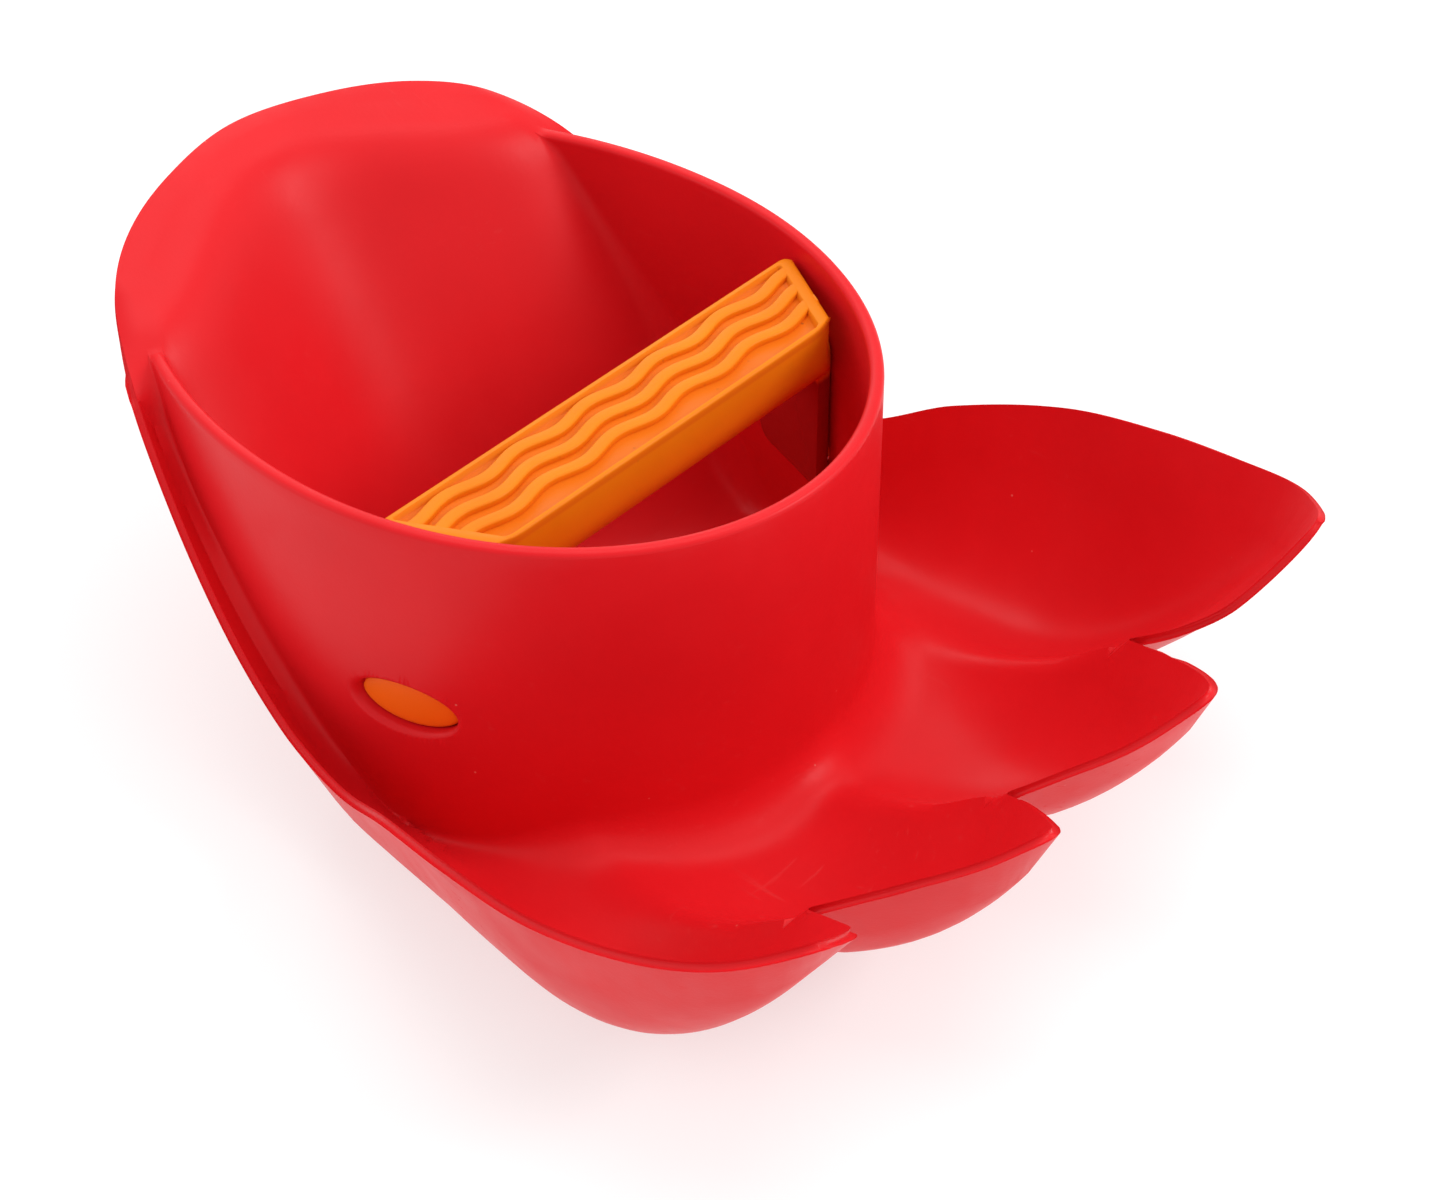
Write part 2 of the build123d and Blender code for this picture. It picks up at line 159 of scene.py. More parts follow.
# The panel's side, as distance into the panel and share of its depth.
PANEL_SIDE = [(0.0, 0.0), (0.1, 0.1), (0.3, 0.9), (0.5, 1.0)]
PANEL_END_SIDE = [(-0.2, 0.0), (0.0, 0.1), (0.25, 0.9), (0.45, 1.0)]
PANEL_END = 3.0
RIB_END_IN = 0.3          # how far the ribs run into the frame at each end
RIB_SPARE = 4.0           # extra length that is then pulled back to the panel's end
RIB_SUNK = 0.05           # how far the ribs' middle lies below the panel
RIB_POINTS = 220
RIB_COUNT = 3
FIRST_RIB_X = -8.4
RIB_PITCH = 4.3
RIB_WIDTH = 2.3
RIB_WAVE = 15.8
RIB_SWAY = 0.7
RIB_LAG = 1.4             # how far each rib's waves lag behind the rib before it
LEG_X = (-16.0, 2.0)
LEG_THICK = 3.5
LEG_TOP = 53.5            # inside the bar
LEG_CORNER = 3.5
LEG_CORNER_STEPS = 7
LEG_BOTTOM = 22.0
# A leg's layers from the wall inwards: depth from its outer face, and how far its outline is drawn in.
LEG_LAYERS = [
    (0.0, 0.6), (0.2, 0.2), (0.6, 0.0),
    (LEG_THICK - 0.8, 0.0), (LEG_THICK - 0.25, 0.2), (LEG_THICK, 0.8),
]

# Finishes and painted shade: linear colours, and the least and greatest roughness
RED_DEEP = (0.66, 0.0085, 0.0130, 1.0)
RED_BRIGHT = (0.72, 0.0105, 0.0155, 1.0)
RED_RUBBED = (0.75, 0.16, 0.14, 1.0)
RED_SPECK = (0.85, 0.42, 0.34, 1.0)
RED_ROUGHNESS = (0.34, 0.44)
RED_SHINE = 0.16
SCUFF_TINT = 0.06
SCUFF_ROUGHNESS = 0.2
SCUFF_DEPTH = 0.5
SPECK_TINT = 0.55
ORANGE_DEEP = (0.76, 0.190, 0.0035, 1.0)
ORANGE_BRIGHT = (0.82, 0.225, 0.0050, 1.0)
# Painted shade in the channel floors between the ribs.
ORANGE_CHANNEL_SHADE = (0.72, 0.135, 0.006, 1.0)
# Painted red reflection of the cup, low on the bar.
ORANGE_RED_BOUNCE = (0.92, 0.118, 0.006, 1.0)
ORANGE_ROUGHNESS = (0.36, 0.48)
ORANGE_SHINE = 0.12
LEG_SHADE = (0.42, 0.012, 0.012, 1.0)
LEG_SHADE_STARTS = (0.0462, 0.0452)   # heights in metres between which the shade comes in, downwards
DIRT = (0.16, 0.055, 0.02, 1.0)
DIRT_SHARE = (0.12, 0.8)              # on the bar, and in its channels
GRAIN = 0.10
GRAIN_DEPTH = 0.0002

# Stage, in metres; each softbox has its name, place, aim, size and power
WHITE = (1.0, 1.0, 1.0, 1.0)
FLOOR_HALF = 6.0
FLOOR_GAP = 0.0002
FLOOR_COLOUR = (0.42, 0.42, 0.42, 1.0)
FLOOR_GLOW = 0.60
ROOM_LIGHT = 0.8
SOFTBOXES = [
    ("overhead softbox", (-0.15, 0.25, 1.25), (0.0, 0.0, 0.03), 1.0, 6.4),
    ("back left softbox", (-0.75, 0.6, 0.5), (0.0, 0.0, 0.03), 0.35, 0.8),
    ("back right softbox", (0.62, 0.45, 0.6), (-0.05, 0.0, 0.05), 0.35, 3.2),
    ("left softbox", (-0.7, -0.8, 0.5), (0.0, 0.0, 0.03), 0.6, 1.3),
]
CAMERA_PLACE = (0.2683, -0.2814, 0.3611)
CAMERA_RIGHT = (0.746, 0.666, 0.0)
CAMERA_FORWARD = (-0.502, 0.562, -0.657)
LENS = 76.9
SENSOR = 36.0


def curve_through(points, column):
    """Smooth value along x through a few points."""
    xs = np.array([p[0] for p in points])
    vs = np.array([p[column] for p in points])
    last = len(xs) - 1
    before = np.maximum(np.arange(last + 1) - 1, 0)
    after = np.minimum(np.arange(last + 1) + 1, last)
    slopes = (vs[after] - vs[before]) / (xs[after] - xs[before])

    def value(x):
        x = np.asarray(x, float)
        i = np.clip(np.searchsorted(xs, x, side="right") - 1, 0, last - 1)
        h = xs[i + 1] - xs[i]
        t = (x - xs[i]) / h
        c = np.clip(t, 0.0, 1.0)
        inside = vs[i] * (1 + 2 * c) * (1 - c) ** 2 + slopes[i] * h * c * (1 - c) ** 2
        inside += vs[i + 1] * c * c * (3 - 2 * c) + slopes[i + 1] * h * c * c * (c - 1)
        below = np.where(t < 0, slopes[i] * h * t, 0.0)
        above = np.where(t > 1, slopes[i + 1] * h * (t - 1), 0.0)
        return inside + below + above

    return value


edge_y = curve_through(LIP_EDGE[4:], 1)
edge_z = curve_through(LIP_EDGE[4:], 2)
outer_in_y = curve_through(OUTER_CLAW_INNER_EDGE, 1)
outer_in_z = curve_through(OUTER_CLAW_INNER_EDGE, 2)
inner_out_y = curve_through(INNER_CLAW_OUTER_EDGE, 1)
inner_out_z = curve_through(INNER_CLAW_OUTER_EDGE, 2)
inner_in_y = curve_through(INNER_CLAW_INNER_EDGE, 1)
inner_in_z = curve_through(INNER_CLAW_INNER_EDGE, 2)


def smooth_step(t):
    t = np.clip(t, 0.0, 1.0)
    return t * t * (3 - 2 * t)


def smooth_max(a, b, reach):
    """The larger of two heights, with a rounded hollow where they cross."""
    h = np.maximum(reach - np.abs(a - b), 0.0) / reach
    return np.maximum(a, b) + h * h * reach / 4


def smooth_min(a, b, reach):
    return -smooth_max(-a, -b, reach)


def keel(x, rise, tip):
    """Floor height along a claw, from the flat of the dish up to the claw's tip."""
    start, power = rise
    t = np.maximum(x - start, 0.0) / (tip[0] - start)
    return FLOOR_TOP + (tip[2] - FLOOR_TOP) * t ** power


def ridge(x):
    """Height of the ridge between two channels, fading out under the cup."""
    grown = RIDGE_FOOT + RIDGE_CURVE * np.maximum(x - RIDGE_START, 0.0) ** 2
    start, length = RIDGE_FADE
    return FLOOR_TOP + (grown - FLOOR_TOP) * smooth_step((x - start) / length)


def channel(y, centre, low, side_y, side_z):
    """Height across a channel that passes through its side at side_y, side_z."""
    half = side_y - centre
    half = np.where(half < 0, np.minimum(half, -CHANNEL_LEAST), np.maximum(half, CHANNEL_LEAST))
    s = np.minimum(np.abs((y - centre) / half), CHANNEL_OVERRUN)
    return low + np.maximum(side_z - low, 0.0) * s ** CHANNEL_POWER


def bowl(y, centre, low, side_y, side_z):
    """Height across the outer half of the outer claw: part of an ellipse, steep at the lip."""
    s = LIP_STEEP * np.clip((y - centre) / np.maximum(side_y - centre, BOWL_LEAST), 0.0, 1.0)
    return low + (side_z - low) * (1 - np.sqrt(1 - s * s)) / (1 - math.sqrt(1 - LIP_STEEP ** 2))


def ridge_round(x, sharpens):
    """How widely a ridge's top is rounded at x."""
    start, length = sharpens
    return LEAST_ROUND + RIDGE_ROUND * (1 - smooth_step((x - start) / length))


def dish_height(x, y):
    """Inside of the claw dish; y is never negative."""
    low_in = keel(x, INNER_KEEL_RISE, INNER_TIP)
    low_out = keel(x, OUTER_KEEL_RISE, OUTER_TIP)
    lean = np.maximum(x - OUTER_KEEL_TURN, 0.0) / (OUTER_TIP[0] - OUTER_KEEL_TURN)
    centre_out = OUTER_KEEL_Y + (OUTER_TIP[1] - OUTER_KEEL_Y) * lean
    notch = INNER_CLAW_OUTER_EDGE[0]
    middle = INNER_CLAW_INNER_EDGE[0]
    joined = x < notch[0]
    side_ridge = ridge(x + SIDE_RIDGE_LEAD)
    out_y = np.where(joined, notch[1], outer_in_y(x))
    out_z = np.where(joined, side_ridge, outer_in_z(x))
    in_y = np.where(joined, notch[1], inner_out_y(x))
    in_z = np.where(joined, side_ridge, inner_out_z(x))
    mid_y = np.where(x < middle[0], 0.0, inner_in_y(x))
    mid_z = np.where(x < middle[0], ridge(x), inner_in_z(x))
    near = channel(y, INNER_KEEL_Y, low_in, mid_y, mid_z)
    over = channel(-y, INNER_KEEL_Y, low_in, mid_y, mid_z)
    first = smooth_min(near, over, ridge_round(x, MIDDLE_RIDGE_SHARPENS))
    inner = channel(y, INNER_KEEL_Y, low_in, in_y, in_z)
    outer = channel(y, centre_out, low_out, out_y, out_z)
    second = smooth_min(inner, outer, ridge_round(x, SIDE_RIDGE_SHARPENS))
    third = bowl(y, centre_out, low_out, edge_y(x), edge_z(x))
    return np.where(y < INNER_KEEL_Y, first, np.where(y < centre_out, second, third))


def ramp_height(x, y):
    """The wrist guard's steep back: a trough inside the cup and a flange on each side of it."""
    outward = smooth_step((y - FLANGE_Y) / FLANGE_BLEND)
    slope = RAMP_SLOPE_IN + (RAMP_SLOPE_OUT - RAMP_SLOPE_IN) * outward
    bend = np.cos(math.pi * np.minimum(y, RAMP_HALF_WIDTH) / RAMP_HALF_WIDTH)
    top = RAMP_MIDDLE - RAMP_DEPTH * bend - FLANGE_BACK * outward
    return RAMP_TOP - slope * (x - top)


def ellipse_gap(x, y, inset):
    """Distance from the cup's plan curve, positive outside it."""
    dx = x - CUP_X
    a = np.where(dx > 0, CUP_FRONT, CUP_BACK) - inset
    b = CUP_SIDE - inset
    f = np.sqrt((dx / a) ** 2 + (y / b) ** 2)
    slope = np.sqrt((dx / a ** 2) ** 2 + (y / b ** 2) ** 2) / np.maximum(f, 1e-6)
    return (f - 1) / np.maximum(slope, 1e-6)


def body_height(x, y, edge_gap, edge_lift):
    """Upper side of the moulding without the cup's wall.

    edge_gap is the distance in from the free edge, and edge_lift is the height that the nearest
    bit of edge still lacks.
    """
    y = np.abs(y)
    brim = np.maximum(BRIM_HEIGHT - BRIM_SLOPE * (x - BRIM_BACK), BRIM_LOW)
    ramp = smooth_min(ramp_height(x, y), brim, BRIM_ROUND)
    out = ellipse_gap(x, y, 0.0)
    start, end = CREST_SPAN
    along = smooth_step((x - start) / CREST_FADE) * (1 - smooth_step((x - end) / CREST_FADE))
    ramp = ramp + CREST_HIGH * along * np.exp(-((out - CREST_OFF) / CREST_WIDE) ** 2)
    roll = np.clip(1 - edge_gap / ROLL_WIDTH, 0.0, 1.0) ** 2
    start, length = ROLL_ENDS
    ramp = ramp - ROLL_DROP * roll * (1 - smooth_step((x - start) / length))
    dish = dish_height(x, y)
    whole = np.where(x > RAMP_END, dish, smooth_max(dish, ramp, RAMP_FOOT_ROUND))
    return whole + edge_lift * (1 - smooth_step(edge_gap / LIFT_REACH))


def quarter_round(gap, radius):
    """Height of a concave fillet beside a wall at a distance gap from it."""
    d = np.clip(radius - gap, 0.0, radius)
    return radius - np.sqrt(np.maximum(radius * radius - d * d, 0.0))


def fillet_height(x, y, base):
    """Extra height beside the cup's wall, fading out where the wall sinks into the wrist guard."""
    start, length = FILLET_GROWS
    forward = smooth_step((x - CUP_X - start) / length)
    standing = FILLET_SHARE * np.maximum(RIM_HEIGHT - base, 0.0)
    outside = np.minimum(FILLET_SIDE + (FILLET_FRONT - FILLET_SIDE) * forward, standing)
    out = quarter_round(np.maximum(ellipse_gap(x, y, 0.0), 0.0), outside)
    inside = quarter_round(np.maximum(-ellipse_gap(x, y, CUP_WALL), 0.0), np.minimum(FILLET_INSIDE, standing))
    return np.where(ellipse_gap(x, y, CUP_WALL / 2) > 0, out, inside)


def top_height(x, y, edge_gap, edge_lift):
    base = body_height(x, y, edge_gap, edge_lift)
    return base + fillet_height(x, y, base)


# ---- Plan outline and point layout ---------------------------------------------------------------
def resample(line, step):
    line = np.asarray(line, float)
    run = np.concatenate([[0.0], np.cumsum(np.linalg.norm(np.diff(line, axis=0), axis=1))])
    count = max(2, int(round(run[-1] / step)) + 1)
    at = np.linspace(0.0, run[-1], count)
    return np.stack([np.interp(at, run, line[:, k]) for k in range(line.shape[1])], axis=1)


def smooth_line(points, step):
    """A smooth curve through a few plan points."""
    p = np.asarray(points, float)
    tangents = np.empty_like(p)
    gaps = np.linalg.norm(np.diff(p, axis=0), axis=1)
    tangents[1:-1] = (p[2:] - p[:-2]) / (gaps[1:] + gaps[:-1])[:, None]
    tangents[0] = 1.5 * (p[1] - p[0]) / gaps[0] - 0.5 * tangents[1]
    tangents[-1] = 1.5 * (p[-1] - p[-2]) / gaps[-1] - 0.5 * tangents[-2]
    rows = []
    for i, h in enumerate(gaps):
        t = np.linspace(0.0, 1.0, CURVE_STEPS, endpoint=False)[:, None]
        rows.append(
            p[i] * (1 + 2 * t) * (1 - t) ** 2 + tangents[i] * h * t * (1 - t) ** 2
            + p[i + 1] * t * t * (3 - 2 * t) + tangents[i + 1] * h * t * t * (t - 1)
        )
    return resample(np.concatenate(rows + [p[-1:]]), step)


def trim(line, start, end):
    run = np.concatenate([[0.0], np.cumsum(np.linalg.norm(np.diff(line, axis=0), axis=1))])
    keep = (run >= start) & (run <= run[-1] - end)
    return line[keep]


def rounded(before, corner, after):
    """Points that round a corner between the end of one line and the start of the next."""
    t = np.linspace(0.0, 1.0, CORNER_STEPS)[1:-1, None]
    return (1 - t) ** 2 * before[-1] + 2 * t * (1 - t) * corner + t * t * after[0]


def shell_edge(step):
    """The free edge as a closed line of x, y, z."""
    back = smooth_line([(x, -y, z) for x, y, z in reversed(LIP_EDGE[1:])] + LIP_EDGE, step)
    outer = smooth_line(OUTER_CLAW_INNER_EDGE[::-1], step)
    across = smooth_line(INNER_CLAW_OUTER_EDGE, step)
    inward = smooth_line(INNER_CLAW_INNER_EDGE[::-1], step)
    lines = [back, outer, across, inward]
    for line in (inward, across, outer):
        lines.append(line[::-1] * (1, -1, 1))
    reaches = [TIP_REACH, NOTCH_REACH, TIP_REACH, NOTCH_REACH, TIP_REACH, NOTCH_REACH, TIP_REACH]
    cut = [trim(line, reaches[i - 1], reaches[i]) for i, line in enumerate(lines)]
    loop = []
    for i, line in enumerate(cut):
        after = cut[(i + 1) % len(cut)]
        loop += [line, rounded(line, lines[i][-1], after)]
    return np.concatenate(loop)


def cup_line(inset):
    """Plan points along the cup's wall, from one side of the wrist guard round the front to the other."""
    t = np.linspace(-CUP_SWEEP, CUP_SWEEP, RING_COUNT)
    long = np.where(np.cos(t) > 0, CUP_FRONT, CUP_BACK) - inset
    return np.stack([CUP_X + long * np.cos(t), (CUP_SIDE - inset) * np.sin(t)], axis=1)


def line_normals(line):
    """Plan normals on the right-hand side of an open line."""
    ahead = np.gradient(line, axis=0)
    ahead /= np.linalg.norm(ahead, axis=1)[:, None]
    return np.stack([ahead[:, 1], -ahead[:, 0]], axis=1)


def loop_normals(loop):
    """Outward plan normals of a closed anticlockwise loop."""
    ahead = np.roll(loop, -1, axis=0) - np.roll(loop, 1, axis=0)
    ahead /= np.linalg.norm(ahead, axis=1)[:, None]
    return np.stack([ahead[:, 1], -ahead[:, 0]], axis=1)


def inside_loop(points, loop):
    x, y = points[:, 0], points[:, 1]
    result = np.zeros(len(points), bool)
    for (x0, y0), (x1, y1) in zip(loop, np.roll(loop, -1, axis=0)):
        if y0 == y1:
            continue
        crosses = (y0 > y) != (y1 > y)
        result ^= crosses & (x < (x1 - x0) * (y - y0) / (y1 - y0) + x0)
    return result


def nearest_on_loop(points, loop):
    """Distance to a closed plan line, and where along it the nearest point is, counted in segments."""
    best = np.full(len(points), 1e9)
    where = np.zeros(len(points))
    for i, ((x0, y0), (x1, y1)) in enumerate(zip(loop, np.roll(loop, -1, axis=0))):
        dx, dy = x1 - x0, y1 - y0
        t = ((points[:, 0] - x0) * dx + (points[:, 1] - y0) * dy) / (dx * dx + dy * dy)
        t = np.clip(t, 0.0, 1.0)
        gap = np.hypot(points[:, 0] - x0 - t * dx, points[:, 1] - y0 - t * dy)
        closer = gap < best
        best = np.where(closer, gap, best)
        where = np.where(closer, i + t, where)
    return best, where


def distance_to_loop(points, loop):
    return nearest_on_loop(points, loop)[0]


def edge_field(points, edge):
    """For plan points: the distance in from the free edge, and the height the edge lacks there."""
    plain = body_height(edge[:, 0], edge[:, 1], np.full(len(edge), ROLL_WIDTH), 0.0)
    lacks = edge[:, 2] - plain
    gap, where = nearest_on_loop(points, edge[:, :2])
    return gap, np.interp(where, np.arange(len(edge) + 1), np.append(lacks, lacks[0]))


def grid_points(step):
    """Plan points of an even triangular grid."""
    rows = []
    high = step * math.sqrt(3) / 2
    half_x, half_y = GRID_HALF
    for k, y in enumerate(np.arange(-half_y, half_y, high)):
        xs = np.arange(-half_x, half_x, step) + (step / 2 if k % 2 else 0.0)
        rows.append(np.stack([xs, np.full_like(xs, y)], axis=1))
    return np.concatenate(rows)


def rim_insets():
    return sorted(set(round(row[0], 6) for row in rim_profile()))


def plan_mesh():
    """Points and fixed edges: the shell's edge, both faces of the cup's wall, and the wall's two ends."""
    edge = shell_edge(EDGE_STEP)
    outline = edge[:, :2]
    outer = cup_line(0.0)
    inner = cup_line(CUP_WALL)
    ends = [np.array([cup_line(inset)[k] for inset in rim_insets()[1:-1]]) for k in (0, -1)]
    extra = []
    edge_out = loop_normals(outline)
    for d in EDGE_ROWS:
        ring = outline - edge_out * d
        extra.append(ring[distance_to_loop(ring, outline) > ROW_KEPT * d])
    for d in WALL_SIDE_ROWS:
        extra.append(outer + line_normals(outer) * d)
        extra.append(inner - line_normals(inner) * d)
    grid = grid_points(GRID_STEP)
    grid = grid[distance_to_loop(grid, outline) > GRID_CLEAR]
    outside = ellipse_gap(grid[:, 0], grid[:, 1], 0.0) > GRID_CLEAR
    inside = ellipse_gap(grid[:, 0], grid[:, 1], CUP_WALL) < -GRID_CLEAR
    buried = grid[:, 0] < outer[0, 0] - WALL_END_CLEAR
    extra.append(grid[outside | inside | buried])
    extra = np.concatenate(extra)
    extra = extra[inside_loop(extra, outline)]
    corners = np.concatenate([outline, outer, inner] + ends + [extra])
    n = len(outline)
    edges = [(i, (i + 1) % n) for i in range(n)]
    for start in (n, n + RING_COUNT):
        edges += [(start + i, start + i + 1) for i in range(RING_COUNT - 1)]
    start = n + 2 * RING_COUNT
    for k, chain in zip((0, RING_COUNT - 1), ends):
        path = [n + k] + list(range(start, start + len(chain))) + [n + RING_COUNT + k]
        edges += list(zip(path[:-1], path[1:]))
        start += len(chain)
    return corners, edges, edge


def triangulate():
    """The shell's plan as triangles, with the numbers of the points along its edge and wall."""
    corners, edges, edge = plan_mesh()
    outline = edge[:, :2]
    result = delaunay_2d_cdt([Vector(c) for c in corners], edges, [], 0, 1e-5, True)
    points = np.array([tuple(v) for v in result[0]])
    faces = np.array(result[2])
    centre = points[faces].mean(axis=1)
    faces = faces[inside_loop(centre, outline)]
    source = {}
    for new, olds in enumerate(result[3]):
        for old in olds:
            source[old] = new
    first = len(outline)
    loops = {
        "edge": [source[i] for i in range(first)],
        "outer": [source[first + i] for i in range(RING_COUNT)],
        "inner": [source[first + RING_COUNT + i] for i in range(RING_COUNT)],
    }
    return points, faces, loops, edge


def inside_wall(centre):
    """True for plan points under the cup's wall, up to its two ends in the wrist guard."""
    x, y = centre[:, 0], np.abs(centre[:, 1])
    band = (ellipse_gap(x, y, 0.0) < 0) & (ellipse_gap(x, y, CUP_WALL) > 0)
    start, end = cup_line(0.0)[-1], cup_line(CUP_WALL)[-1]
    side = (end[0] - start[0]) * (y - start[1]) - (end[1] - start[1]) * (x - start[0])
    return band & (side > 0)


def plane_normals(x, y, gap, e):
    dx = (body_height(x + e, y, gap, 0.0) - body_height(x - e, y, gap, 0.0)) / (2 * e)
    dy = (body_height(x, y + e, gap, 0.0) - body_height(x, y - e, gap, 0.0)) / (2 * e)
    n = np.stack([-dx, -dy, np.ones_like(dx)], axis=1)
    return n / np.linalg.norm(n, axis=1)[:, None]


def rim_profile():
    """Points over the cup's wall, outside to inside: inset, share of the height, drop below the rim."""
    rows = [(0.0, k / WALL_ROWS, None) for k in range(1, WALL_ROWS + 1)]
    for a in np.linspace(0.0, math.pi / 2, RIM_STEPS):
        rows.append((RIM_ROUND * (1 - math.cos(a)), None, RIM_ROUND * (1 - math.sin(a))))
    for a in np.linspace(math.pi / 2, 0.0, RIM_STEPS):
        rows.append((CUP_WALL - RIM_ROUND * (1 - math.cos(a)), None, RIM_ROUND * (1 - math.sin(a))))
    rows += [(CUP_WALL, k / WALL_ROWS, None) for k in range(WALL_ROWS, 0, -1)]
    return rows


def cup_columns(edge):
    """Vertices of the cup's wall and rim, one row for each step over the wall."""
    rows = []
    for inset, share, drop in rim_profile():
        line = cup_line(inset)
        base = top_height(line[:, 0], line[:, 1], *edge_field(line, edge))
        if share is None:
            z = np.full(RING_COUNT, RIM_HEIGHT - drop)
        else:
            z = base + (RIM_HEIGHT - RIM_ROUND - base) * share
        rows.append(np.column_stack([line, np.maximum(z, base)]))
    return rows


def make_object(name, vertices, faces, material):
    mesh = bpy.data.meshes.new(name)
    mesh.from_pydata([tuple(v) for v in np.asarray(vertices) * MM], [], [tuple(f) for f in faces])
    mesh.validate()
    work = bmesh.new()
    work.from_mesh(mesh)
    bmesh.ops.remove_doubles(work, verts=work.verts, dist=2e-6)
    bmesh.ops.dissolve_degenerate(work, edges=work.edges, dist=1e-6)
    bmesh.ops.recalc_face_normals(work, faces=work.faces)
    work.to_mesh(mesh)
    work.free()
    mesh.materials.append(material)
    mesh.shade_smooth()
    thing = bpy.data.objects.new(name, mesh)
    bpy.context.scene.collection.objects.link(thing)
    return thing


def edge_rows(top, low, rim):
    """Points that round the free edge from its upper to its lower side, one array for each row."""
    across = top[rim] - low[rim]
    middle = (top[rim] + low[rim]) / 2
    size = np.linalg.norm(across, axis=1)[:, None]
    out = np.column_stack([loop_normals(top[rim][:, :2]), np.zeros(len(rim))])
    out = out - across * (np.sum(out * across, axis=1)[:, None] / size ** 2)
    out /= np.linalg.norm(out, axis=1)[:, None]
    turns = np.linspace(0.0, math.pi, EDGE_STEPS)[1:-1]
    return [middle + across / 2 * math.cos(a) + out * size * EDGE_BULGE * math.sin(a) for a in turns]


def build_shell(material):
    points, faces, loops, edge = triangulate()
    x, y = points[:, 0], points[:, 1]
    gap, lift = edge_field(points, edge)
    base = body_height(x, y, gap, lift)
    top = np.column_stack([x, y, top_height(x, y, gap, lift)])
    thick = LIP_SHEET + (SHEET - LIP_SHEET) * smooth_step(gap / LIP_THINS_OVER)
    low = np.column_stack([x, y, base]) - plane_normals(x, y, gap, NORMAL_STEP) * thick[:, None]
    low[:, 2] = np.maximum(low[:, 2], 0.0)
    count = len(points)
    in_wall = inside_wall(points[faces].mean(axis=1))
    all_faces = [tuple(f) for f in faces[~in_wall]]
    all_faces += [(f[2] + count, f[1] + count, f[0] + count) for f in faces]
    vertices = [top, low]
    total = 2 * count
    rim = np.array(loops["edge"])
    strip = [rim]
    for row in edge_rows(top, low, rim):
        vertices.append(row)
        strip.append(np.arange(total, total + len(rim)))
        total += len(rim)
    strip.append(rim + count)
    columns = [np.array(loops["outer"])]
    for row in cup_columns(edge):
        vertices.append(row)
        columns.append(np.arange(total, total + RING_COUNT))
        total += RING_COUNT
    columns.append(np.array(loops["inner"]))
    for rows, spans in ((strip, len(rim)), (columns, RING_COUNT - 1)):
        for a, b in zip(rows[:-1], rows[1:]):
            n = len(a)
            all_faces += [(a[i], a[(i + 1) % n], b[(i + 1) % n], b[i]) for i in range(spans)]
    return make_object("moulded_shell", np.concatenate(vertices), all_faces, material)


def tube_faces(rings, around):
    """Faces between closed rings of points that follow each other."""
    faces = []
    for k in range(rings - 1):
        for i in range(around):
            j = (i + 1) % around
            faces.append((k * around + i, k * around + j, (k + 1) * around + j, (k + 1) * around + i))
    return faces


def closed_tube(rows):
    """Points and faces of a solid made of rings, with a flat cap at each end."""
    around = len(rows[0])
    faces = tube_faces(len(rows), around)
    faces.append(tuple(range(around)))
    faces.append(tuple(range((len(rows) - 1) * around, len(rows) * around)))
    return np.concatenate(rows), faces


def wall_y(x, inset):
    """Half width of the cup at x on a curve inset from its outer face."""
    dx = np.asarray(x) - CUP_X
    a = np.where(dx > 0, CUP_FRONT, CUP_BACK) - inset
    return (CUP_SIDE - inset) * np.sqrt(np.maximum(1 - (dx / a) ** 2, 0.0))


def oval_rings(side, steps, count):
    """Solid of ovals that follow the cup's side wall; steps are depth below the outer face, and growth."""
    cx, cz, rx, rz = WINDOW
    t = np.linspace(0.0, 2 * math.pi, count, endpoint=False)
    rows = []
    for depth, grow in steps:
        px = cx + (rx + grow) * np.cos(t)
        pz = cz + (rz + grow) * np.sin(t)
        rows.append(np.column_stack([px, side * (wall_y(px, 0.0) - depth), pz]))
    return closed_tube(rows)


def cut_windows(shell):
    for side in (1, -1):
        vertices, faces = oval_rings(side, WINDOW_STEPS, WINDOW_COUNT)
        cutter = make_object("window cutter", vertices, faces, shell.data.materials[0])
        cut = shell.modifiers.new("window", "BOOLEAN")
        cut.object = cutter
        cut.operation = "DIFFERENCE"
        cut.solver = "EXACT"
        graph = bpy.context.evaluated_depsgraph_get()
        mesh = bpy.data.meshes.new_from_object(shell.evaluated_get(graph))
        shell.modifiers.clear()
        old = shell.data
        shell.data = mesh
        bpy.data.meshes.remove(old)
        bpy.data.objects.remove(cutter)
    shell.data.shade_smooth()
    shell.data.set_sharp_from_angle(angle=math.radians(WINDOW_SHARP))


# ---- Grip bar --------------------------------------------------------------------------------------
def arc(centre, radius, start, end, count):
    """Points of an arc in the plane of x and z."""
    angles = np.linspace(start, end, count)
    return [(centre[0] + radius * math.cos(a), centre[1] + radius * math.sin(a)) for a in angles]


def bar_loop(recess, shrink):
    """The bar's section, x and z, with its top panel sunk by recess and every side drawn in by shrink."""
    left, right = BAR_X[0] + shrink, BAR_X[1] - shrink
    top, bottom = BAR_TOP - shrink, BAR_TOP - BAR_DEPTH + shrink
    edge = BAR_EDGE
    under = (right - left) / 2 - BAR_UNDER_FLAT
    quarter = math.pi / 2
    panel_right = BAR_X[1] - PANEL_FRONT
    panel_left = BAR_X[0] + PANEL_BACK
    points = arc((right - edge, top - edge), edge, 0.0, quarter, BAR_EDGE_STEPS)
    points += [(panel_right - off, top - recess * share) for off, share in PANEL_SIDE]
    points += [(panel_left + off, top - recess * share) for off, share in reversed(PANEL_SIDE)]
    points += arc((left + edge, top - edge), edge, quarter, math.pi, BAR_EDGE_STEPS)
    points += arc((left + under, bottom + under), under, math.pi, 3 * quarter, BAR_UNDER_STEPS)
    points += arc((right - under, bottom + under), under, 3 * quarter, 4 * quarter, BAR_UNDER_STEPS)
    return np.array(points)


